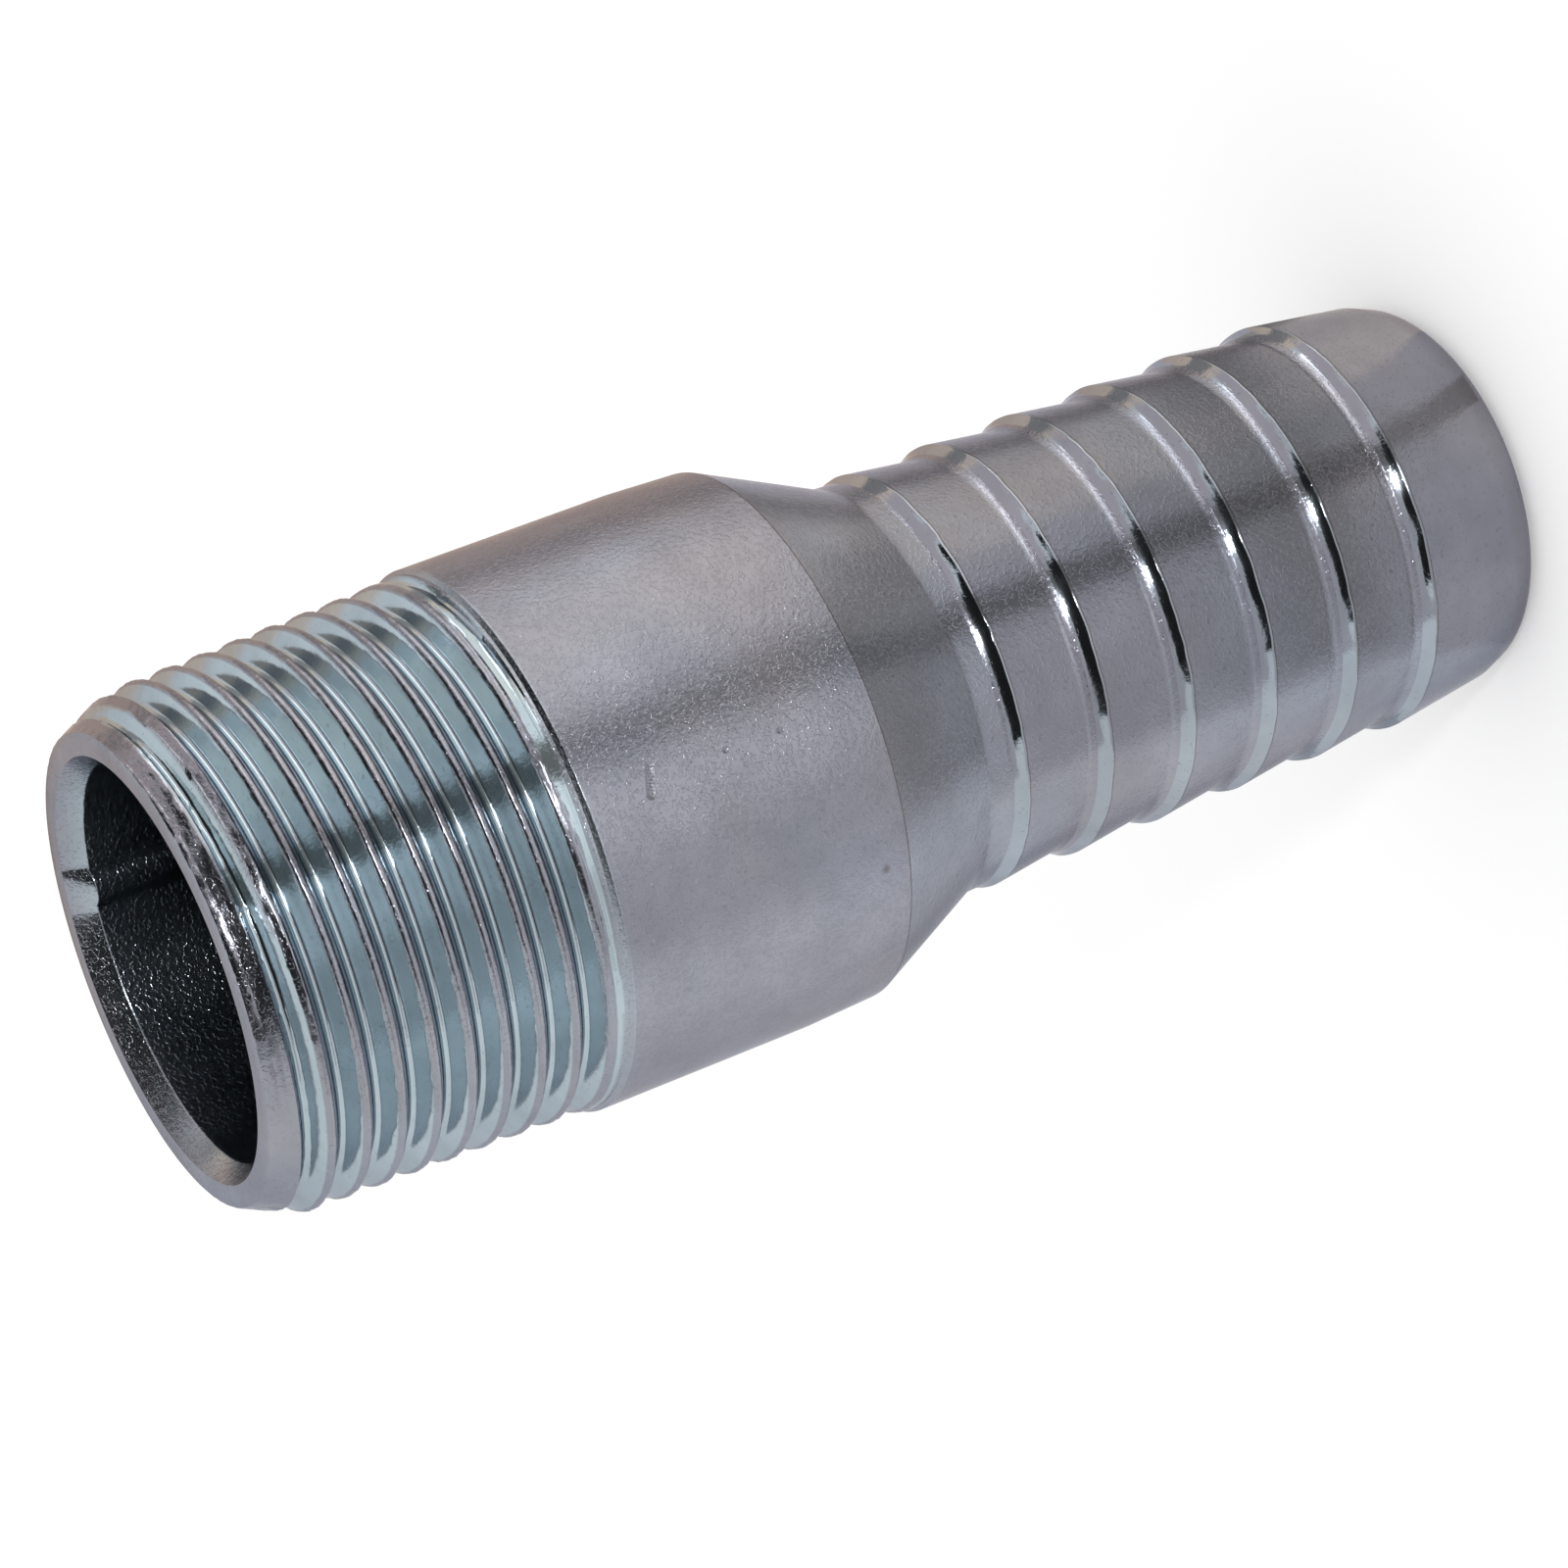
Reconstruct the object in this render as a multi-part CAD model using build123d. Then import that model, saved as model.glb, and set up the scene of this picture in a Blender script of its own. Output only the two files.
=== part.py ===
from build123d import *
import math
import os

# Hose barb tail: one piece of heavy steel tube. One end carries a right-hand
# taper pipe thread, the plain barrel is swaged down through a cone, and the
# barbed shank is pushed into a hose. It stands on the hose end, thread up.
# Origin: middle of the hose end's face. +Z runs up the axis to the thread end.
# Millimetres and degrees.

# Tube
tube_od = 34.0
tube_wall = 4.7
overall_length = 89.3

# Taper pipe thread, 1 inch with 11.5 turns to the inch, measured down from the thread end
thread_pitch = 25.4 / 11.5
thread_taper = 1 / 16               # growth of the diameter along the axis
thread_end_drop = 1.9               # crest cone's diameter at the end plane, under the tube's
thread_length = 21.7                # from the end plane to the shoulder on the barrel
thread_depth = 1.28
crest_flat = 0.34
groove_overshoot = 0.2              # how far the cutter stands out of the metal
flank_angle = 30.0                  # each flank, from square to the axis
thread_start_angle = -145.0         # where the groove crosses the end plane, about +Z from +X
runout_turns = 0.45                 # the groove climbs out of the metal over this part of a turn
shoulder_length = 0.45
lead_chamfer_length = 3.2
lead_chamfer_angle = 26.0
mouth_chamfer_length = 1.4
mouth_chamfer_angle = 32.0

# Swaged neck
neck_start = 40.8                   # from the thread end to the edge of the cone
shoulder_fall = 0.2                 # how far the barrel rolls in before that edge
shoulder_fall_length = 4.6
cone_angle = 25.4

# Hose shank
barb_count = 6
barb_pitch = 5.87
barb_crest_od = 26.6
land_angle = 7.3                    # each land falls towards the hose end
barb_rise = 1.3                     # axial length of the face that grips the hose
first_crest = 51.05                 # from the thread end to the first crest
neck_relief = 0.25                  # the cone ends this far under the first crest
shank_bore = 17.0
nose_length = 2.5                   # nose at the hose end: a short cone, then a rounded edge
nose_angle = 20.0
nose_round = 2.0
tip_chamfer = 0.5

# Weld seam inside the tube
seam_angle = 61.0                   # about +Z from +X
seam_width = 2.4
seam_height = 0.7

tube_radius = tube_od / 2
bore_radius = tube_radius - tube_wall
shank_bore_radius = shank_bore / 2
crest_radius = barb_crest_od / 2
land_slope = math.tan(math.radians(land_angle))
cone_slope = math.tan(math.radians(cone_angle))


def up(depth):
    """Height above the hose end of a plane this far from the thread end."""
    return overall_length - depth


def crest_cone(depth):
    """Radius of the cone that the thread's crests lie on."""
    return (tube_od - thread_end_drop + depth * thread_taper) / 2


def thread_blank_points():
    """Outline of the threaded length before it is threaded, down to the plain barrel."""
    return [
        (crest_cone(0), up(0)),
        (crest_cone(thread_length), up(thread_length)),
        (tube_radius, up(thread_length + shoulder_length)),
    ]


def neck_points():
    """Outline from the plain barrel down the cone to the first barb's foot."""
    edge_radius = tube_radius - shoulder_fall
    foot_radius = crest_radius - neck_relief
    cone_length = (edge_radius - foot_radius) / cone_slope
    return [
        (tube_radius, up(neck_start - shoulder_fall_length)),
        (edge_radius, up(neck_start)),
        (foot_radius, up(neck_start + cone_length)),
    ]


def barb_points(index):
    """One barb: crest, tapered land and the foot of the next gripping face."""
    crest = first_crest + index * barb_pitch
    points = [(crest_radius, up(crest))]
    if index < barb_count - 1:
        land = barb_pitch - barb_rise
        points.append((crest_radius - land * land_slope, up(crest + land)))
    return points


def outer_outline():
    """Outer side of the section, from the thread end to the nose."""
    points = thread_blank_points() + neck_points()
    for index in range(barb_count):
        points += barb_points(index)
    last_crest = first_crest + (barb_count - 1) * barb_pitch
    last_land = overall_length - nose_length - last_crest
    points.append((crest_radius - last_land * land_slope, nose_length))
    return points


def nose_points(nose_start):
    """Where the nose's cone meets its rounded edge, and where that edge meets the rim."""
    angle = math.radians(nose_angle)
    start_radius, start_height = nose_start
    round_height = nose_round * (1 - math.sin(angle))
    round_radius = start_radius - (start_height - round_height) * math.tan(angle)
    return [(round_radius, round_height), (round_radius - nose_round * math.cos(angle), 0)]


def body_of_revolution():
    """The turned and swaged tube before the thread is cut and the bore is made."""
    outline = outer_outline()
    round_start, rim = nose_points(outline[-1])
    outline.append(round_start)
    angle = math.radians(nose_angle)
    section = [Line(a, b) for a, b in zip(outline, outline[1:])]
    section.append(TangentArc(round_start, rim, tangent=(-math.sin(angle), -math.cos(angle))))
    section.append(Line(rim, (0, 0)))
    section.append(Line((0, 0), (0, overall_length)))
    section.append(Line((0, overall_length), outline[0]))
    face = Plane.XZ * make_face(section)
    return revolve(face, Axis.Z)


def lead_chamfer():
    """What is turned off the first turns, so that the thread starts easily."""
    lead_rise = lead_chamfer_length * math.tan(math.radians(lead_chamfer_angle))
    lead_top = crest_cone(lead_chamfer_length)
    outline = [
        (lead_top - lead_rise, up(0)),
        (tube_radius, up(0)),
        (tube_radius, up(lead_chamfer_length)),
        (lead_top, up(lead_chamfer_length)),
    ]
    face = Plane.XZ * make_face(Polyline(*outline, close=True))
    return revolve(face, Axis.Z)


def waterway():
    """The bore: wide in the barrel, a cone under the neck, narrow in the shank."""
    mouth_radius = bore_radius + mouth_chamfer_length * math.tan(math.radians(mouth_chamfer_angle))
    inner_cone = (bore_radius - shank_bore_radius) / cone_slope
    outline = [
        (0, overall_length),
        (mouth_radius, overall_length),
        (bore_radius, up(mouth_chamfer_length)),
        (bore_radius, up(neck_start)),
        (shank_bore_radius, up(neck_start + inner_cone)),
        (shank_bore_radius, tip_chamfer),
        (shank_bore_radius + tip_chamfer, 0),
        (0, 0),
    ]
    face = Plane.XZ * make_face(Polyline(*outline, close=True))
    return revolve(face, Axis.Z)


def weld_seam():
    """The bead along the tube's inner wall, from the mouth chamfer to the cone."""
    top = up(mouth_chamfer_length)
    length = neck_start - mouth_chamfer_length
    bead = Ellipse(seam_height, seam_width / 2)
    centre = Pos(bore_radius, 0, top - length)
    return Rot(0, 0, seam_angle) * extrude(centre * bead, length)


def groove_section(climb):
    """The groove's section: axial offsets and radii against the crest cone."""
    flank_slope = math.tan(math.radians(flank_angle))
    root_half = (thread_pitch - crest_flat) / 2 - thread_depth * flank_slope
    mouth_half = root_half + (thread_depth + groove_overshoot) * flank_slope
    root = climb - thread_depth
    mouth = climb + groove_overshoot
    return [(-root_half, root), (root_half, root), (mouth_half, mouth), (-mouth_half, mouth)]


def groove_point(depth, offset, rise):
    """A corner of the groove's section where its middle is this far from the thread end."""
    angle = math.radians(thread_start_angle - 360 * depth / thread_pitch)
    radius = crest_cone(depth) + rise
    return Vector(radius * math.cos(angle), radius * math.sin(angle), up(depth) + offset)


def groove_edge(deep, shallow, deep_corner, shallow_corner):
    """One edge of the groove: a helix up from depth deep to depth shallow."""
    offset, deep_rise = deep_corner
    height = deep - shallow
    start_radius = crest_cone(deep) + deep_rise
    end_radius = crest_cone(shallow) + shallow_corner[1]
    cone = math.atan2(end_radius - start_radius, height)
    helix = Edge.make_helix(
        thread_pitch / math.cos(cone), height, start_radius, angle=math.degrees(cone),
    )
    turned = Rot(0, 0, thread_start_angle - 360 * deep / thread_pitch) * helix
    return Pos(0, 0, up(deep) + offset) * turned


def groove_cutter():
    """What cuts the thread: a trapezium carried up a taper helix, climbing in from nothing."""
    climb = tube_radius - crest_cone(thread_length) + thread_depth + groove_overshoot
    full = groove_section(0)
    raised = groove_section(climb)
    full_depth = thread_length - runout_turns * thread_pitch
    clear_above = -thread_pitch
    spans = [(thread_length, full_depth, raised, full), (full_depth, clear_above, full, full)]
    faces = []
    for deep, shallow, low, high in spans:
        edges = [groove_edge(deep, shallow, a, b) for a, b in zip(low, high)]
        for first, second in zip(edges, edges[1:] + edges[:1]):
            faces.append(Face.make_surface_from_curves(first, second))
    for depth, section in ((thread_length, raised), (clear_above, full)):
        corners = [groove_point(depth, offset, rise) for offset, rise in section]
        faces.append(make_face(Polyline(*corners, close=True)))
    return Solid(Shell(faces))


def hose_barb_tail():
    """The finished piece."""
    tail = body_of_revolution() - groove_cutter()
    tail -= lead_chamfer()
    tail -= waterway()
    tail += weld_seam()
    return tail


os.makedirs("parts", exist_ok=True)
export_step(hose_barb_tail(), "parts/hose_barb_tail.step")
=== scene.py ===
import math

import bpy
from mathutils import Matrix, Vector, noise


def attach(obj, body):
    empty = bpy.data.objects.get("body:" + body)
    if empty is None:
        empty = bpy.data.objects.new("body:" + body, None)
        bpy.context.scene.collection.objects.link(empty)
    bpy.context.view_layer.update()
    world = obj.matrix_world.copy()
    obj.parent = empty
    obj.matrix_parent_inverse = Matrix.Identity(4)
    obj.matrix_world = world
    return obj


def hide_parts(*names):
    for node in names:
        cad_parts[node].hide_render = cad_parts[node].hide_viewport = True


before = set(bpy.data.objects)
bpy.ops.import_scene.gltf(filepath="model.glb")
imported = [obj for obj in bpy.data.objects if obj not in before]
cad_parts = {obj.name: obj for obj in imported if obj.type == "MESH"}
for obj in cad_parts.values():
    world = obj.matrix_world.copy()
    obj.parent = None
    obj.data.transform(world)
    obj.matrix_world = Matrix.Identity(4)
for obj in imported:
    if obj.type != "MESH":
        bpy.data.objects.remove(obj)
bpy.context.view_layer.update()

# Sizes are in millimetres and angles in degrees. Depths run from the thread end towards the hose end.
MM = 0.001
LENGTH = 89.3
TUBE_R = 17.0
BORE_R = 12.3
SHANK_BORE_R = 8.5

# Thread
PITCH = 25.4 / 11.5
TAPER = 1 / 32                      # growth of the radius along the axis
CREST_CONE_R = 16.05                # at the end face
THREAD_LENGTH = 21.7
THREAD_DEPTH = 1.28
THREAD_START = -145.0               # where the groove crosses the end face, about the axis
FLANK = math.radians(60.0)          # between a flank and the axis
ROOT_ROUND = 0.338
CREST_ROUND = 0.294
RUNOUT = 0.45 * PITCH               # the groove climbs out of the metal over this length
RUNOUT_RISE = THREAD_DEPTH + 0.1
LEAD_LENGTH = 3.2
LEAD_SLOPE = math.tan(math.radians(26.0))
FACE_INNER_R = 13.17
FACE_MIDDLE_R = 13.8
FACE_EDGE = 0.1                     # the face's last ring lies this far inside its rim
RIM_DEPTH = 0.06

# Wear of the thread, and the faint grooves of the die's last teeth
CREST_WEAR = 0.05
CREST_WEAR_PATCH = 0.6
LEAD_WEAR = 0.05
LEAD_WEAR_PATCH = 0.5
RUNOUT_LINES = 3
RUNOUT_SPACING = 0.45
RUNOUT_DEPTH = 0.06

# Shoulder, barrel and neck
SHOULDER_START = 21.9
SHOULDER_END = 22.15
SHOULDER_EDGE = 22.3
SHOULDER_ROUND = 0.1
ROLL_START = 36.2
ROLL_FALL = 0.2
ROLL_ROUND = 0.5
CONE_START = 40.8
CONE_SLOPE = math.tan(math.radians(25.4))
NECK = (48.6, 13.1)                 # depth and radius where the cone ends
NECK_END = (50.0, 13.03)
NECK_ROUND = 1.4

# Barbs
BARBS = 6
BARB_PITCH = 5.87
FIRST_CREST = 51.05
CREST_R = 13.3
CREST_EDGE = 0.14
LAND_ANGLE = 7.3
STEP_FACE = 1.0
STEP_FOOT = 0.45
STEP_ANGLES = (38.0, 18.0)          # the step's slope at its crest and at its foot
STEP_SHINE = 0.75                   # length of the step that is smoothed bright
CREST_REACH = 0.4                   # each crest wanders along the axis, and this much moves with it
CREST_WANDER = 0.1
WANDER_PATCH = 1.6
WANDER_SHIFT = 20.0                 # sets one barb's wandering apart from the next one's

# Nose and inside
NOSE_LENGTH = 2.5
NOSE_ANGLE = math.radians(20.0)
NOSE_ROUND = 2.0
TIP_CHAMFER = 0.5
TIP_CHAMFER_ROUND = 0.1
TIP_FACE = 0.4
BORE_ROUND = 2.0
MOUTH_LENGTH = 1.4
MOUTH_ROUND = 0.3
SEAM_ANGLE = 61.0
SEAM_HALF_WIDTH = 1.2
SEAM_HEIGHT = 0.7
SEAM_END = CONE_START + 2

# Grid of the mesh: columns round the axis, and rows across each form
COLUMNS = 260
ROOT_ROWS = (0, 30, 60)             # angles round the root's and the crest's roundings
CREST_ROWS = (60, 40, 20)
FLANK_ROWS = (0.12, 0.5, 0.88)      # shares of the flank
ROWS_FROM = 0.1                     # the thread's rows keep this clear of its end face
ROWS_TO = THREAD_LENGTH - 0.03
NECK_ROUND_ROWS = 5
STEP_FACE_ROWS = 6
STEP_FOOT_ROWS = 4
CREST_ROUND_ROWS = 4
NOSE_ROWS = 8
BORE_ROUND_ROWS = 4
LONGEST_SKIN_ROW = 4.0
LONGEST_BORE_ROW = 8.0
SHARP_ANGLE = 34.0

# How each zone is finished: its roughness, its shine from satin 0 to shiny 1, and its stain, which also
# carries the dark edge lines.
BARREL_FINISH = (0.25, 0.0, 0.0)
CONE_FINISH = (0.20, 0.12, 0.0)
LAND_FINISH = (0.20, 0.05, 0.0)
STEP_FINISH = (0.10, 0.45, 0.0)
NOSE_FINISH = (0.20, 0.0, 0.15)
THREAD_FINISH = (0.14, 1.0, 0.0)
CREST_FINISH = (0.20, 0.1, 0.0)
SHOULDER_FINISH = (0.22, 0.3, 0.0)
FACE_FINISH = (0.24, 0.1, 0.0)
BORE_FINISH = (0.19, 0.7, 0.1)
# A thin dark brown line along the edge where the barrel meets the cone, and just behind each barb's crest
DARK_EDGE_LINE = (0.25, 0.0, 0.8)
CREST_SHARE = 0.13                  # rows this near a crest's middle, as a share of the pitch, are crest
LEAD_MATCH = 0.02                   # rows this near the lead cone's radius belong to it
FINISH_GAP = 0.06                   # a finish changes over this length
EDGE_LINE_REACH = 0.04

# Marks on the barrel: depth, angle and radius. The nick is a close row of dents.
DARK_SPECK = (39.15, -124.6, 0.4)
NICK = [(26.5 - 0.06 * step, -87.0 - 0.6 * step, 0.3) for step in range(10)]
SMALL_DENTS = [(31.2, -89.3, 0.24), (34.75, -89.5, 0.24)]

# Zinc plate: linear colours, sizes of its patches, and how they show
SATIN = (0.29, 0.312, 0.37, 1)
SATIN_WARM = (0.315, 0.31, 0.345, 1)
SHINY = (0.43, 0.51, 0.555, 1)
STAIN = (0.13, 0.105, 0.09, 1)
EDGE_TINT = (0.58, 0.58, 0.62, 1)
CLOUD_SIZE = 7.0
CLOUD_DETAIL = 3.0
CLOUD_RANGE = (0.3, 0.7)
CLOUD_LEVELS = (0.88, 1.1)
CLOUD_ROUGHNESS = 0.04
WARMTH_SIZE = 16.0
WARMTH_DETAIL = 2.0
WARMTH_RANGE = (0.35, 0.65)
GRAIN_SIZE = 0.36
GRAIN_DETAIL = 4.0
SPECK_SIZE = 0.3
SPECK_DETAIL = 1.0
PIT_RANGE = (0.66, 0.74)
PIT_LEVEL = 0.82
BUMP_RANGE = (0.52, 0.58)
BUMP_HEIGHT = 0.4
NOISE_ROUGHNESS = 0.65
DENT_DEPTH = 2.2
RELIEF_ROUGHNESS = (0.14, 0.25)     # the rougher the zone, the stronger its relief
RELIEF_STRENGTH = (0.1, 1.0)
RELIEF_DISTANCE = 0.035

# Studio, in metres and degrees
FLOOR_SIZE = 40.0
FLOOR_GAP = 0.0001
FLOOR_GREY = (0.8, 0.8, 0.8, 1)
FLOOR_GLOW = 0.22
CARD_TURN = 4                       # azimuth of one face of a card
CARD_RISE = 6                       # elevation of one face of a card
CAMERA_PLACE = (0.0, -334.6, 185.7)
CAMERA_RIGHT = (-0.35662, -0.35707, -0.86332)
CAMERA_UP = (0.93421, -0.12819, -0.33288)
CAMERA_LENS = 138.02
CAMERA_SENSOR = 36.0
CAMERA_CLIP = (0.01, 100.0)


def crest_cone(depth):
    """Radius of the cone that the thread's crests lie on."""
    return CREST_CONE_R + depth * TAPER


def lead_cone(depth):
    """Radius of the chamfer turned on the first turns."""
    return crest_cone(LEAD_LENGTH) - (LEAD_LENGTH - depth) * LEAD_SLOPE


# ---------------------------------------------------------------- thread

def thread_phases():
    """Places of the grid's rows across one turn, as shares of the pitch from the groove's middle."""
    root = [ROOT_ROUND * math.sin(math.radians(angle)) for angle in ROOT_ROWS]
    flank_end = PITCH / 2 - CREST_ROUND * math.sin(FLANK)
    flank = [root[-1] + (flank_end - root[-1]) * share for share in FLANK_ROWS]
    crest = [PITCH / 2 - CREST_ROUND * math.sin(math.radians(angle)) for angle in CREST_ROWS]
    half = root + flank + crest
    full = half + [PITCH / 2] + [PITCH - place for place in reversed(half[1:])]
    return [place / PITCH for place in full]


def groove_below_crest(offset):
    """How far the metal lies below the crest cone at this distance from a groove's middle."""
    offset = abs(offset)
    root_edge = ROOT_ROUND * math.sin(FLANK)
    crest_edge = PITCH / 2 - CREST_ROUND * math.sin(FLANK)
    if offset < root_edge:
        return THREAD_DEPTH - ROOT_ROUND + math.sqrt(ROOT_ROUND ** 2 - offset ** 2)
    if offset < crest_edge:
        return THREAD_DEPTH - ROOT_ROUND / 2 - (offset - root_edge) * math.tan(FLANK)
    if offset < PITCH / 2:
        inward = PITCH / 2 - offset
        return CREST_ROUND - math.sqrt(CREST_ROUND ** 2 - inward ** 2)
    return 0.0


def groove_middle(angle, turn):
    """Depth of the groove's middle at an angle about the axis, on a given turn."""
    return PITCH * ((THREAD_START - angle) / 360 + turn)


def thread_radius(depth, angle):
    """Radius of the cut thread, with its lead chamfer and the run-out of its groove."""
    nearest = round((depth - groove_middle(angle, 0)) / PITCH)
    cut = 0.0
    for turn in (nearest - 1, nearest, nearest + 1):
        middle = groove_middle(angle, turn)
        if middle > THREAD_LENGTH:
            continue
        climbed = max(0.0, (middle - THREAD_LENGTH + RUNOUT) / RUNOUT)
        below = groove_below_crest(depth - middle) - climbed * RUNOUT_RISE
        cut = max(cut, below)
    return min(crest_cone(depth) - cut, lead_cone(depth))


# ---------------------------------------------------------------- plain sections

def fillet(points, radii, steps):
    """The polyline with its inner corners rounded to the given radii."""
    rounded = [points[0]]
    for before, corner, after, radius in zip(points, points[1:], points[2:], radii):
        if radius == 0:
            rounded.append(corner)
            continue
        corner, before, after = Vector(corner), Vector(before), Vector(after)
        into, out = (corner - before).normalized(), (after - corner).normalized()
        turn = into.angle(out)
        reach = radius * math.tan(turn / 2)
        start = corner - into * reach
        side = Vector((-into.y, into.x))
        if side.dot(out) < 0:
            side = -side
        centre = start + side * radius
        for step in range(steps + 1):
            bend = turn * step / steps
            spoke = -side * math.cos(bend) + into * math.sin(bend)
            rounded.append(tuple(centre + spoke * radius))
    rounded.append(points[-1])
    return rounded


def with_edges(points, edges):
    """The polyline with three close points at each edge between finishes, so that the change is sharp."""
    for edge in edges:
        for depth in (edge - FINISH_GAP, edge, edge + FINISH_GAP):
            after = next(i for i, point in enumerate(points) if point[0] > depth)
            (d0, r0), (d1, r1) = points[after - 1], points[after]
            points.insert(after, (depth, r0 + (r1 - r0) * (depth - d0) / (d1 - d0)))
    return points


def spaced(points, longest):
    """The polyline with its long runs divided."""
    divided = [points[0]]
    for a, b in zip(points, points[1:]):
        count = max(1, math.ceil(math.dist(a, b) / longest))
        for step in range(1, count + 1):
            share = step / count
            divided.append((a[0] + (b[0] - a[0]) * share, a[1] + (b[1] - a[1]) * share))
    return divided


def bending(length, first, last, rows):
    """Short runs whose slope turns evenly from the first angle to the last, as (length, slope)."""
    return [(length / rows, first + (last - first) * (row + 0.5) / rows) for row in range(rows)]


def step_section():
    """The step behind a crest, as distances before the crest and below it, from the crest down."""
    at_crest, at_foot = STEP_ANGLES
    runs = bending(STEP_FACE, at_crest, at_foot, STEP_FACE_ROWS)
    runs += bending(STEP_FOOT, at_foot, -LAND_ANGLE, STEP_FOOT_ROWS)
    points = [(0.0, 0.0)]
    for length, slope in runs:
        before, below = points[-1]
        points.append((before + length, below + length * math.tan(math.radians(slope))))
    return points


def neck_section():
    """The barrel behind the shoulder, its rolled-in end, the cone and the short neck."""
    points = [
        (THREAD_LENGTH, crest_cone(THREAD_LENGTH)),
        (SHOULDER_START, crest_cone(SHOULDER_START)),
        (SHOULDER_END, TUBE_R),
        (ROLL_START, TUBE_R),
        (CONE_START, TUBE_R - ROLL_FALL),
        NECK,
        NECK_END,
    ]
    return fillet(points, [0, SHOULDER_ROUND, 0, ROLL_ROUND, NECK_ROUND], NECK_ROUND_ROWS)


def crest_round(crest, land_fall):
    """A crest's rounded edge, between its step and its land."""
    rise = math.tan(math.radians(STEP_ANGLES[0]))
    corner = [
        (crest - CREST_EDGE, CREST_R - CREST_EDGE * rise),
        (crest, CREST_R),
        (crest + CREST_EDGE, CREST_R - CREST_EDGE * land_fall),
    ]
    return fillet(corner, [CREST_EDGE], CREST_ROUND_ROWS)[1:-1]


def barrel_section():
    """The outside from the shoulder to the end of the last land, and the radius there."""
    step = step_section()
    land_fall = step[-1][1] / (BARB_PITCH - step[-1][0])
    points = neck_section()
    for barb in range(BARBS):
        crest = FIRST_CREST + barb * BARB_PITCH
        rise = [(crest - before, CREST_R - below) for before, below in reversed(step)]
        if barb == 0:
            rise = rise[STEP_FOOT_ROWS:]
        points += rise[:-1]
        points += crest_round(crest, land_fall)
    last_crest = FIRST_CREST + (BARBS - 1) * BARB_PITCH
    nose_start = LENGTH - NOSE_LENGTH
    nose_r = CREST_R - (nose_start - last_crest) * land_fall
    points.append((nose_start, nose_r))
    return with_edges(spaced(points, LONGEST_SKIN_ROW), finish_edges()), nose_r


def nose_section(nose_r):
    """The nose's rounded edge, from where its cone ends to the rim."""
    round_length = NOSE_ROUND * (1 - math.sin(NOSE_ANGLE))
    round_r = nose_r - (NOSE_LENGTH - round_length) * math.tan(NOSE_ANGLE)
    middle = (LENGTH - NOSE_ROUND, round_r - NOSE_ROUND * math.cos(NOSE_ANGLE))
    points = []
    for row in range(NOSE_ROWS + 1):
        bend = NOSE_ANGLE + (math.pi / 2 - NOSE_ANGLE) * row / NOSE_ROWS
        points.append((middle[0] + NOSE_ROUND * math.sin(bend), middle[1] + NOSE_ROUND * math.cos(bend)))
    return points


def inner_section():
    """From the rim through the shank bore, the inner cone and the barrel's bore to the mouth."""
    inner_cone = (BORE_R - SHANK_BORE_R) / CONE_SLOPE
    points = [
        (LENGTH, SHANK_BORE_R + TIP_CHAMFER + TIP_FACE),
        (LENGTH, SHANK_BORE_R + TIP_CHAMFER),
        (LENGTH - TIP_CHAMFER, SHANK_BORE_R),
        (CONE_START + inner_cone, SHANK_BORE_R),
        (CONE_START, BORE_R),
        (MOUTH_LENGTH, BORE_R),
        (0.0, FACE_INNER_R),
    ]
    rounds = [0, TIP_CHAMFER_ROUND, BORE_ROUND, BORE_ROUND, MOUTH_ROUND]
    return spaced(fillet(points, rounds, BORE_ROUND_ROWS), LONGEST_BORE_ROW)[1:-1]


# ---------------------------------------------------------------- wear and finish

def patchy(depth, angle, size):
    """Smooth noise from 0 to 1 over the piece, in patches of about this many millimetres."""
    turn = math.radians(angle)
    place = Vector((TUBE_R * math.cos(turn), TUBE_R * math.sin(turn), depth)) / size
    return min(1.0, max(0.0, 0.5 + noise.noise(place)))


def thread_wear(depth, angle, on_crest):
    """How much the die and the handling have taken off: worn crests, and ragged first turns."""
    worn = CREST_WEAR * patchy(depth, angle, CREST_WEAR_PATCH) if on_crest else 0.0
    if depth < LEAD_LENGTH:
        worn += LEAD_WEAR * patchy(depth, angle, LEAD_WEAR_PATCH)
    return worn


def runout_line(depth):
    """The faint grooves that the die's last teeth leave before the shoulder."""
    if depth < THREAD_LENGTH - RUNOUT_LINES * RUNOUT_SPACING:
        return 0.0
    return RUNOUT_DEPTH * math.sin(math.pi * (THREAD_LENGTH - depth) / RUNOUT_SPACING) ** 2


def uneven_crest(depth, angle):
    """The barbs' crests wander a little along the axis, as swaged edges do."""
    barb = round((depth - FIRST_CREST) / BARB_PITCH)
    away = abs(depth - FIRST_CREST - barb * BARB_PITCH)
    if not 0 <= barb < BARBS or away > CREST_REACH:
        return depth
    wander = CREST_WANDER * (patchy(barb * WANDER_SHIFT, angle, WANDER_PATCH) - 0.5)
    return depth + wander * (1 - away / CREST_REACH)


def skin_finish(depth):
    """Satin on the barrel, smoother on the cone and lands, and smoothest on the steps."""
    if depth < SHOULDER_EDGE:
        return SHOULDER_FINISH
    # The thin dark brown lines at the cone's edge and just behind each crest
    if abs(depth - CONE_START) < EDGE_LINE_REACH:
        return DARK_EDGE_LINE
    if depth < CONE_START:
        return BARREL_FINISH
    if depth > LENGTH - NOSE_LENGTH:
        return NOSE_FINISH
    for barb in range(BARBS):
        crest = FIRST_CREST + barb * BARB_PITCH
        if abs(depth - crest - CREST_EDGE) < EDGE_LINE_REACH:
            return DARK_EDGE_LINE
        if crest - STEP_SHINE < depth < crest + CREST_EDGE:
            return STEP_FINISH
    return CONE_FINISH if depth < FIRST_CREST else LAND_FINISH


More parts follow.
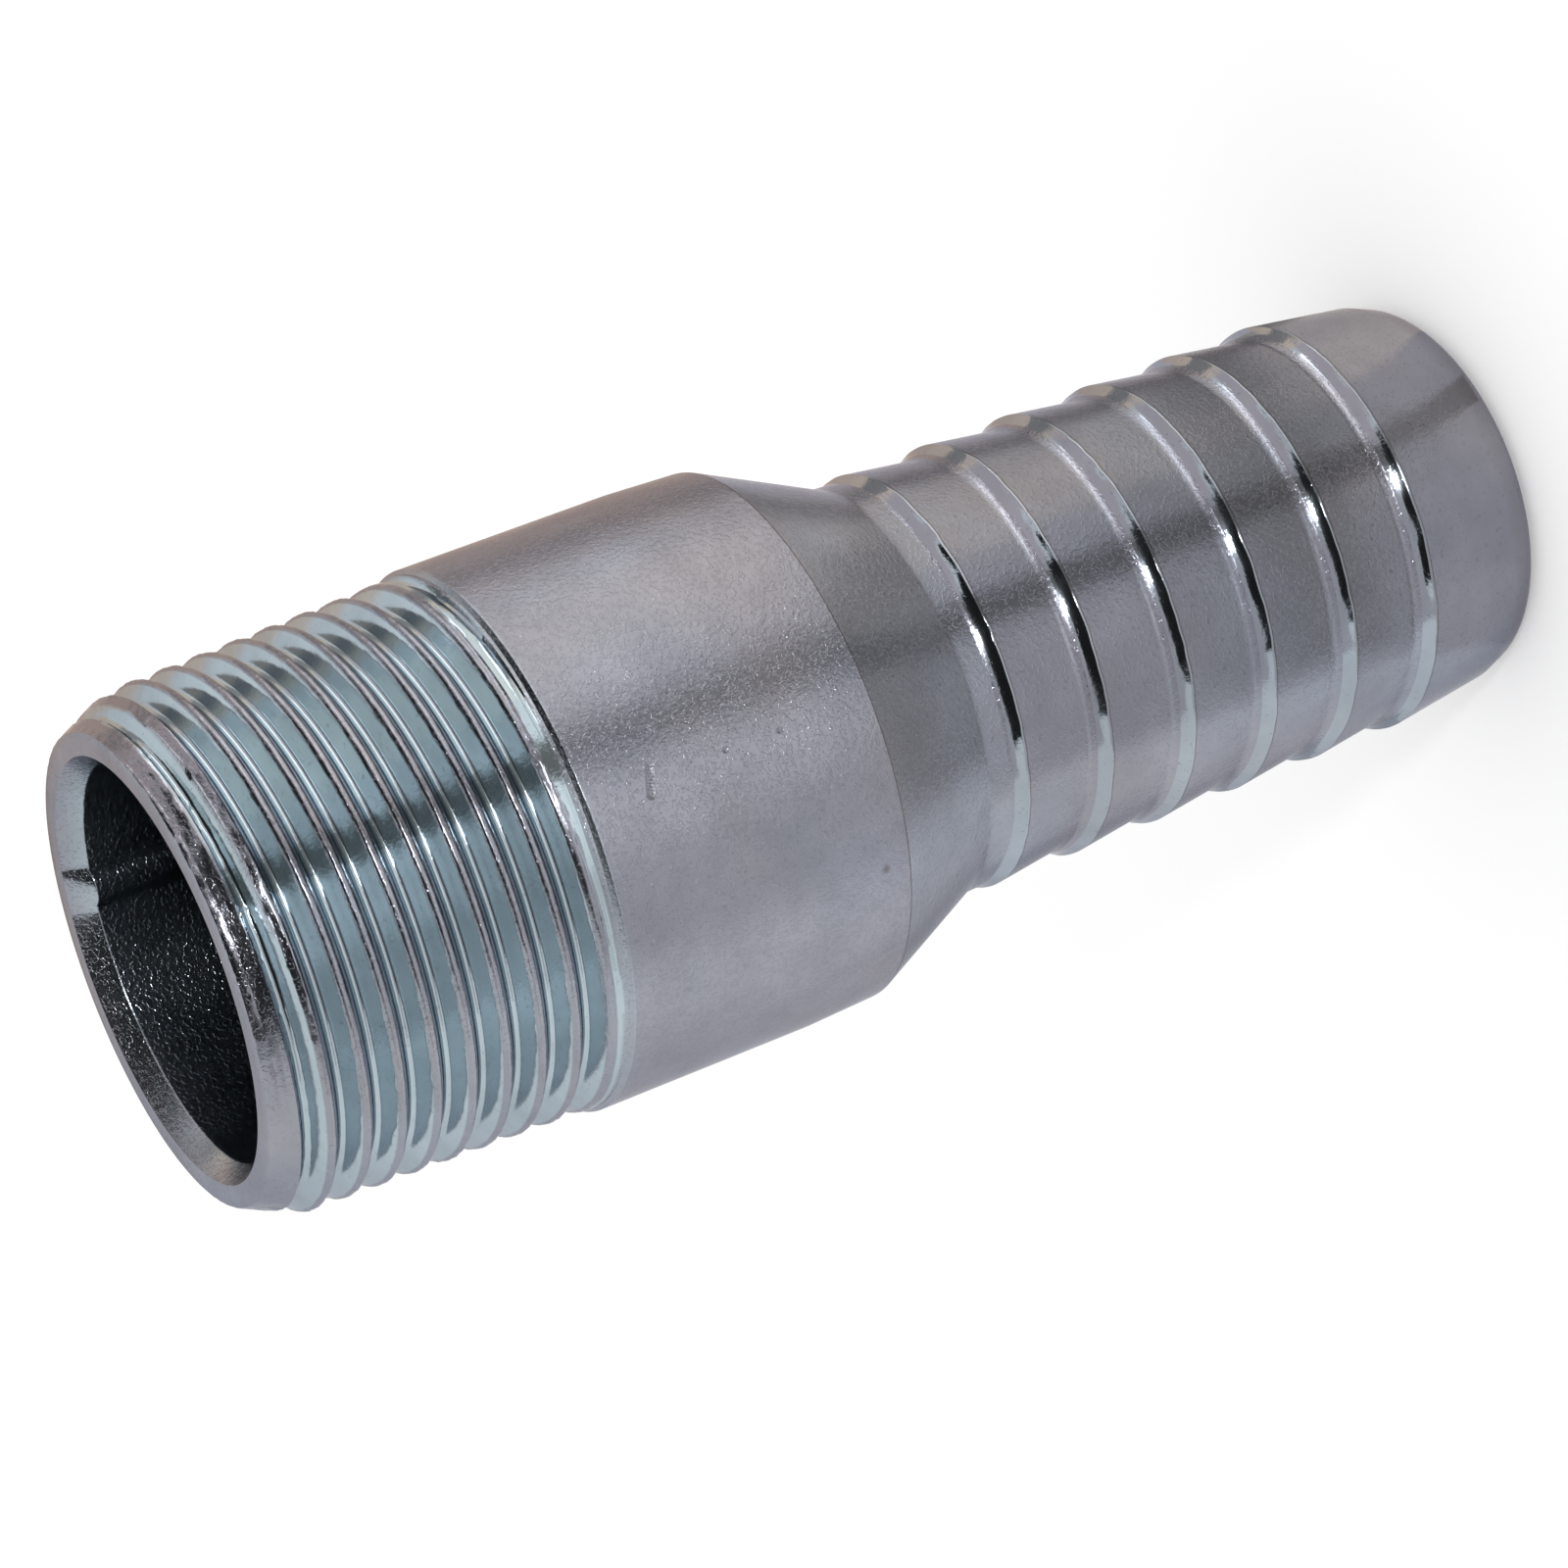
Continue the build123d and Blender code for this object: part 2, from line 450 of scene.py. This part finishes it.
def finish_edges():
    """Depths where the finish of the skin changes."""
    crests = [FIRST_CREST + barb * BARB_PITCH for barb in range(BARBS)]
    ends = [crest - STEP_SHINE for crest in crests] + [crest + CREST_EDGE for crest in crests]
    return [SHOULDER_EDGE, CONE_START] + ends


# ---------------------------------------------------------------- one surface

class Surface:
    """Collects the vertices column by column with their finish, and the faces between columns."""

    def __init__(self):
        self.vertices = []
        self.faces = []
        self.finish = {"roughness": [], "shine": [], "stain": []}

    def point(self, depth, radius, angle, finish):
        turn = math.radians(angle)
        self.vertices.append((
            radius * math.cos(turn) * MM, radius * math.sin(turn) * MM, (LENGTH - depth) * MM,
        ))
        for values, value in zip(self.finish.values(), finish):
            values.append(value)
        return len(self.vertices) - 1

    def join(self, left, right):
        """Faces between two equal runs of vertices."""
        for a, b, c, d in zip(left, left[1:], right[1:], right):
            self.faces.append((a, b, c, d))


def thread_rows(surface, angle, phases):
    """The vertices of one column between the end face and the shoulder, by row number."""
    rows = {}
    start = groove_middle(angle, 0)
    first = math.floor(-start / PITCH) - 1
    last = math.ceil((THREAD_LENGTH - start) / PITCH) + 1
    for turn in range(first, last + 1):
        for place, phase in enumerate(phases):
            depth = start + (turn + phase) * PITCH
            if not ROWS_FROM < depth < ROWS_TO:
                continue
            cut = thread_radius(depth, angle)
            on_crest = abs(phase - 0.5) < CREST_SHARE
            on_lead = depth < LEAD_LENGTH and cut > lead_cone(depth) - LEAD_MATCH
            radius = cut - thread_wear(depth, angle, on_crest) - runout_line(depth)
            finish = CREST_FINISH if on_crest or on_lead else THREAD_FINISH
            rows[turn * len(phases) + place] = surface.point(depth, radius, angle, finish)
    return rows


def join_thread(surface, left, right, shift, tops, bottoms):
    """Faces between two columns of the thread, whose rows may start and end differently."""
    right = {row + shift: vertex for row, vertex in right.items()}
    low, high = max(min(left), min(right)), min(max(left), max(right))
    for row in range(low, high):
        surface.faces.append((left[row], left[row + 1], right[row + 1], right[row]))
    head = [tops[0]] + [left[row] for row in range(min(left), low)] + [left[low], right[low]]
    head += [right[row] for row in range(low - 1, min(right) - 1, -1)] + [tops[1]]
    foot = [left[row] for row in range(high, max(left) + 1)] + [bottoms[0], bottoms[1]]
    foot += [right[row] for row in range(max(right), high - 1, -1)]
    surface.faces += [tuple(head), tuple(foot)]


def seam_rise(depth, angle):
    """How far the weld bead stands into the bore."""
    away = (angle - SEAM_ANGLE + 180) % 360 - 180
    across = math.radians(away) * BORE_R / SEAM_HALF_WIDTH
    if abs(across) < 1 and depth < SEAM_END:
        return SEAM_HEIGHT * math.sqrt(1 - across ** 2)
    return 0.0


def make_column(surface, angle, phases, outer, inner):
    """The vertices at one angle: end face with its rim, thread, outside, and inside."""
    face_rs = [FACE_INNER_R, FACE_MIDDLE_R, lead_cone(0) - FACE_EDGE]
    face = [surface.point(0.0, radius, angle, FACE_FINISH) for radius in face_rs]
    rim_r = lead_cone(RIM_DEPTH) - thread_wear(RIM_DEPTH, angle, False)
    face.append(surface.point(RIM_DEPTH, rim_r, angle, CREST_FINISH))
    thread = thread_rows(surface, angle, phases)
    skin = [surface.point(uneven_crest(depth, angle), r, angle, skin_finish(depth)) for depth, r in outer]
    bore = [surface.point(depth, r - seam_rise(depth, angle), angle, BORE_FINISH) for depth, r in inner]
    return face, thread, skin + bore + [face[0]]


def tail_surface():
    """The whole piece as one closed surface."""
    surface = Surface()
    phases = thread_phases()
    skin, nose_r = barrel_section()
    outer = skin + nose_section(nose_r)
    inner = inner_section()
    columns = [make_column(surface, i * 360 / COLUMNS, phases, outer, inner) for i in range(COLUMNS)]
    for index in range(COLUMNS):
        face, thread, rest = columns[index]
        next_face, next_thread, next_rest = columns[(index + 1) % COLUMNS]
        shift = len(phases) if index == COLUMNS - 1 else 0
        surface.join(face, next_face)
        join_thread(surface, thread, next_thread, shift, (face[-1], next_face[-1]), (rest[0], next_rest[0]))
        surface.join(rest, next_rest)
    return surface


def build_tail():
    surface = tail_surface()
    mesh = bpy.data.meshes.new("hose_tail")
    mesh.from_pydata(surface.vertices, [], surface.faces)
    mesh.validate()
    mesh.shade_smooth()
    mesh.set_sharp_from_angle(angle=math.radians(SHARP_ANGLE))
    for name, values in surface.finish.items():
        mesh.attributes.new(name, "FLOAT", "POINT").data.foreach_set("value", values)
    tail = bpy.data.objects.new("hose_tail", mesh)
    bpy.context.scene.collection.objects.link(tail)
    return tail


tail = build_tail()


# ---------------------------------------------------------------- material

def add(tree, kind, sockets, **settings):
    """A new node, with its sockets set to values or linked to other nodes' outputs."""
    made = tree.nodes.new(kind)
    for name, value in settings.items():
        setattr(made, name, value)
    for name, value in sockets.items():
        if isinstance(value, bpy.types.NodeSocket):
            tree.links.new(value, made.inputs[name])
        else:
            made.inputs[name].default_value = value
    return made


def calculate(tree, operation, first, second):
    return add(tree, "ShaderNodeMath", {0: first, 1: second}, operation=operation).outputs[0]


def attribute(tree, name):
    return add(tree, "ShaderNodeAttribute", {}, attribute_name=name).outputs["Fac"]


def noise_at(tree, place, size, detail):
    """Noise whose patches are about this many millimetres across."""
    return add(tree, "ShaderNodeTexNoise", {
        "Vector": place, "Scale": 1 / (size * MM), "Detail": detail, "Roughness": NOISE_ROUGHNESS,
    }).outputs["Fac"]


def spread(tree, value, start, end):
    """The value moved from one range to another, and held inside it."""
    return add(tree, "ShaderNodeMapRange", {
        "Value": value, "From Min": start[0], "From Max": start[1], "To Min": end[0], "To Max": end[1],
    }).outputs["Result"]


def mix(tree, kind, factor, first, second):
    sockets = {"Fac": factor, "Color1": first, "Color2": second}
    return add(tree, "ShaderNodeMixRGB", sockets, blend_type=kind).outputs[0]


def mark(tree, place, depth, angle, radius):
    """1 at the middle of a mark on the barrel, falling to 0 at its edge."""
    turn = math.radians(angle)
    middle = (TUBE_R * math.cos(turn) * MM, TUBE_R * math.sin(turn) * MM, (LENGTH - depth) * MM)
    away = add(tree, "ShaderNodeVectorMath", {0: place, 1: middle}, operation="DISTANCE").outputs["Value"]
    return spread(tree, away, (0.0, radius * MM), (1.0, 0.0))


def plate_colour(tree, place, clouds, specks):
    """Satin in two tints, or shiny, then stained, darkened along the edge lines, mottled and pitted."""
    warmth = noise_at(tree, place, WARMTH_SIZE, WARMTH_DETAIL)
    satin = mix(tree, "MIX", spread(tree, warmth, WARMTH_RANGE, (0.0, 1.0)), SATIN, SATIN_WARM)
    plate = mix(tree, "MIX", attribute(tree, "shine"), satin, SHINY)
    plate = mix(tree, "MIX", attribute(tree, "stain"), plate, STAIN)
    plate = mix(tree, "MIX", mark(tree, place, *DARK_SPECK), plate, STAIN)
    mottling = spread(tree, clouds, CLOUD_RANGE, CLOUD_LEVELS)
    pits = spread(tree, specks, PIT_RANGE, (1.0, PIT_LEVEL))
    return mix(tree, "MULTIPLY", 1.0, plate, calculate(tree, "MULTIPLY", mottling, pits))


def plate_relief(tree, place, specks, rough):
    """The plate's grain and the barrel's dents, stronger where the zone is rougher."""
    grain = noise_at(tree, place, GRAIN_SIZE, GRAIN_DETAIL)
    height = calculate(tree, "ADD", grain, spread(tree, specks, BUMP_RANGE, (0.0, BUMP_HEIGHT)))
    dented = 0.0
    for dent in NICK + SMALL_DENTS:
        dented = calculate(tree, "MAXIMUM", dented, mark(tree, place, *dent))
    hollow = spread(tree, dented, (0.0, 1.0), (0.0, DENT_DEPTH))
    return add(tree, "ShaderNodeBump", {
        "Strength": spread(tree, rough, RELIEF_ROUGHNESS, RELIEF_STRENGTH),
        "Distance": RELIEF_DISTANCE * MM,
        "Height": calculate(tree, "SUBTRACT", height, hollow),
    }).outputs["Normal"]


def zinc():
    """Zinc plate: satin and mottled on the drawn tube, brighter and bluer where the steel was cut."""
    material = bpy.data.materials.new("zinc_plate")
    material.use_nodes = True
    tree = material.node_tree
    shader = tree.nodes["Principled BSDF"]
    shader.inputs["Metallic"].default_value = 1.0
    shader.inputs["Specular Tint"].default_value = EDGE_TINT
    place = add(tree, "ShaderNodeTexCoord", {}).outputs["Object"]
    rough = attribute(tree, "roughness")
    clouds = noise_at(tree, place, CLOUD_SIZE, CLOUD_DETAIL)
    specks = noise_at(tree, place, SPECK_SIZE, SPECK_DETAIL)
    unevenness = spread(tree, clouds, CLOUD_RANGE, (CLOUD_ROUGHNESS, -CLOUD_ROUGHNESS))
    tree.links.new(plate_colour(tree, place, clouds, specks), shader.inputs["Base Color"])
    tree.links.new(calculate(tree, "ADD", rough, unevenness), shader.inputs["Roughness"])
    tree.links.new(plate_relief(tree, place, specks, rough), shader.inputs["Normal"])
    return material


tail.data.materials.append(zinc())
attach(tail, "root")
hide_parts("hose_barb_tail")


# ---------------------------------------------------------------- stage

def stage_mesh(name, vertices, faces, material):
    mesh = bpy.data.meshes.new(name)
    mesh.from_pydata(vertices, [], faces)
    mesh.materials.append(material)
    made = bpy.data.objects.new(name, mesh)
    bpy.context.scene.collection.objects.link(made)
    return made


def bare_material(name):
    """A new material with no nodes in it yet."""
    material = bpy.data.materials.new(name)
    material.use_nodes = True
    material.node_tree.nodes.clear()
    return material


def floor_material():
    """Pale grey paper that the camera and the reflections see as white, and that keeps a shadow."""
    material = bare_material("pale_floor")
    tree = material.node_tree
    path = add(tree, "ShaderNodeLightPath", {}).outputs
    seen = calculate(tree, "MAXIMUM", path["Is Camera Ray"], path["Is Glossy Ray"])
    seen = calculate(tree, "MAXIMUM", seen, path["Is Transmission Ray"])
    glow = add(tree, "ShaderNodeEmission", {"Strength": calculate(tree, "MULTIPLY", seen, FLOOR_GLOW)})
    paper = add(tree, "ShaderNodeBsdfDiffuse", {"Color": FLOOR_GREY})
    total = add(tree, "ShaderNodeAddShader", {0: paper.outputs[0], 1: glow.outputs[0]})
    add(tree, "ShaderNodeOutputMaterial", {"Surface": total.outputs[0]})
    return material


def make_floor():
    half = FLOOR_SIZE / 2
    corners = [(x, y, -FLOOR_GAP) for x, y in ((-half, -half), (half, -half), (half, half), (-half, half))]
    stage_mesh("floor", corners, [(0, 1, 2, 3)], floor_material())


make_floor()


def card_material(name, colour):
    material = bare_material(name)
    tree = material.node_tree
    glow = add(tree, "ShaderNodeEmission", {"Color": (*colour, 1)})
    add(tree, "ShaderNodeOutputMaterial", {"Surface": glow.outputs[0]})
    return material


def studio_card(name, azimuths, profile, colour):
    """A curved card round the piece that shows only in its reflections.

    Azimuths run from the front (-Y) towards +X. The profile is (distance, height) in metres."""
    first, last = azimuths
    steps = max(2, round((last - first) / CARD_TURN))
    vertices, faces = [], []
    for step in range(steps + 1):
        turn = math.radians(first + (last - first) * step / steps)
        vertices += [(r * math.sin(turn), -r * math.cos(turn), z) for r, z in profile]
    count = len(profile)
    for step in range(steps):
        for row in range(count - 1):
            a = step * count + row
            faces.append((a, a + 1, a + count + 1, a + count))
    card = stage_mesh(name, vertices, faces, card_material(name, colour))
    card.visible_camera = False
    card.visible_diffuse = False
    card.visible_shadow = False
    card.visible_transmission = False


def standing(distance, low, high):
    """A profile that curves up round the piece between two elevations."""
    steps = max(1, round((high - low) / CARD_RISE))
    rises = [math.radians(low + (high - low) * step / steps) for step in range(steps + 1)]
    return [(distance * math.cos(rise), distance * math.sin(rise)) for rise in rises]


def lying(near, height, distance, high):
    """A profile that lies on the floor from close to the piece, and then stands up."""
    return [(near, height), (distance * 0.5, height)] + standing(distance, 0.5, high)


NEAR_MAT = [(0.0112, 0.0002), (0.095, 0.0002)]
FAR_MAT = [(0.095, 0.0002), (0.30, 0.0002)]

# Mats on the floor, near the piece and farther out
# Painted shade: a grey mat close in front of the piece, darker than the floor farther out, stands in for
# the piece's shadow there as the metal reflects it
studio_card("near_shade_card", (-74, 54), NEAR_MAT, (0.71, 0.69, 0.70))
studio_card("near_side_card", (54, 112), NEAR_MAT, (0.98, 0.90, 0.82))
studio_card("back_left_card", (-180, -128), NEAR_MAT, (0.72, 0.74, 0.76))
studio_card("back_right_card", (112, 134), NEAR_MAT, (0.74, 0.66, 0.57))
studio_card("back_card", (134, 180), NEAR_MAT, (1.0, 0.94, 0.95))
# Painted shadow: a dark ring close round the foot of the piece stands in for its contact shadow on the
# floor, seen only in the metal's reflections
studio_card("contact_shadow_card", (-180, 180), [(0.0104, 0.0001), (0.0118, 0.0002)], (0.40, 0.38, 0.38))
# Painted shadow: a dark band on the floor close round the piece stands in for its own shadow there, as the
# cone reflects it
studio_card("cone_shadow_card", (-64, 126), [(0.025, 0.0004), (0.037, 0.0004)], (0.42, 0.40, 0.38))
studio_card("left_card", (-66, -22), FAR_MAT, (0.84, 0.84, 0.84))
studio_card("pale_card", (50, 94), FAR_MAT, (1.4, 1.33, 1.24))

# Walls of the studio, with a warm one behind on the right
studio_card("warm_card", (106, 180), FAR_MAT + standing(0.60, 0.5, 24), (1.08, 0.85, 0.69))
studio_card("front_wall", (-70, 36), standing(0.60, 0, 29), (0.66, 0.62, 0.64))
studio_card("side_wall", (36, 112), standing(0.60, 9, 32), (0.78, 0.68, 0.70))

# Dark flags, a dark ceiling at the front, and a soft box
studio_card("front_flag", (13, 30), lying(0.023, 0.0008, 0.58, 60), (0.22, 0.21, 0.20))
studio_card("end_flag", (19, 29), [(0.0118, 0.0006), (0.023, 0.0008)], (0.42, 0.40, 0.38))
studio_card("side_flag", (113, 127), lying(0.014, 0.0008, 0.58, 40), (0.40, 0.37, 0.36))
studio_card("black_card", (-54, 36), standing(0.57, 30, 75), (0.02, 0.02, 0.02))
studio_card("black_side_card", (36, 112), standing(0.57, 37, 75), (0.02, 0.02, 0.02))
studio_card("soft_box", (38, 98), standing(0.56, 1, 9), (3.2, 3.15, 3.1))


def spot_lamp(name, azimuth, elevation, distance, size, power):
    """A small round lamp aimed at the piece's middle."""
    lamp = bpy.data.lights.new(name, "AREA")
    lamp.shape = "DISK"
    lamp.size = size
    lamp.energy = power
    turn, rise = math.radians(azimuth), math.radians(elevation)
    towards = Vector((
        math.sin(turn) * math.cos(rise), -math.cos(turn) * math.cos(rise), math.sin(rise),
    ))
    holder = bpy.data.objects.new(name, lamp)
    holder.location = Vector((0, 0, LENGTH * MM / 2)) + towards * distance
    holder.rotation_mode = "QUATERNION"
    holder.rotation_quaternion = towards.to_track_quat("Z", "Y")
    bpy.context.scene.collection.objects.link(holder)


spot_lamp("front_lamp", azimuth=9.0, elevation=22.0, distance=0.5, size=0.046, power=0.55)


def make_world():
    world = bpy.data.worlds.new("studio")
    bpy.context.scene.world = world
    world.use_nodes = True
    background = world.node_tree.nodes["Background"]
    background.inputs["Color"].default_value = (1, 1, 1, 1)
    background.inputs["Strength"].default_value = 1.0


make_world()


# ---------------------------------------------------------------- camera

def make_camera():
    """A long lens from above the thread end's side, rolled so that the piece lies across the picture."""
    data = bpy.data.cameras.new("camera")
    data.sensor_width = CAMERA_SENSOR
    data.lens = CAMERA_LENS
    data.clip_start, data.clip_end = CAMERA_CLIP
    camera = bpy.data.objects.new("camera", data)
    bpy.context.scene.collection.objects.link(camera)
    right, upward = Vector(CAMERA_RIGHT), Vector(CAMERA_UP)
    turn = Matrix((right, upward, right.cross(upward))).transposed()
    camera.matrix_world = Matrix.Translation(Vector(CAMERA_PLACE) * MM) @ turn.to_4x4()
    bpy.context.scene.camera = camera


make_camera()
bpy.context.scene.view_settings.view_transform = "Standard"
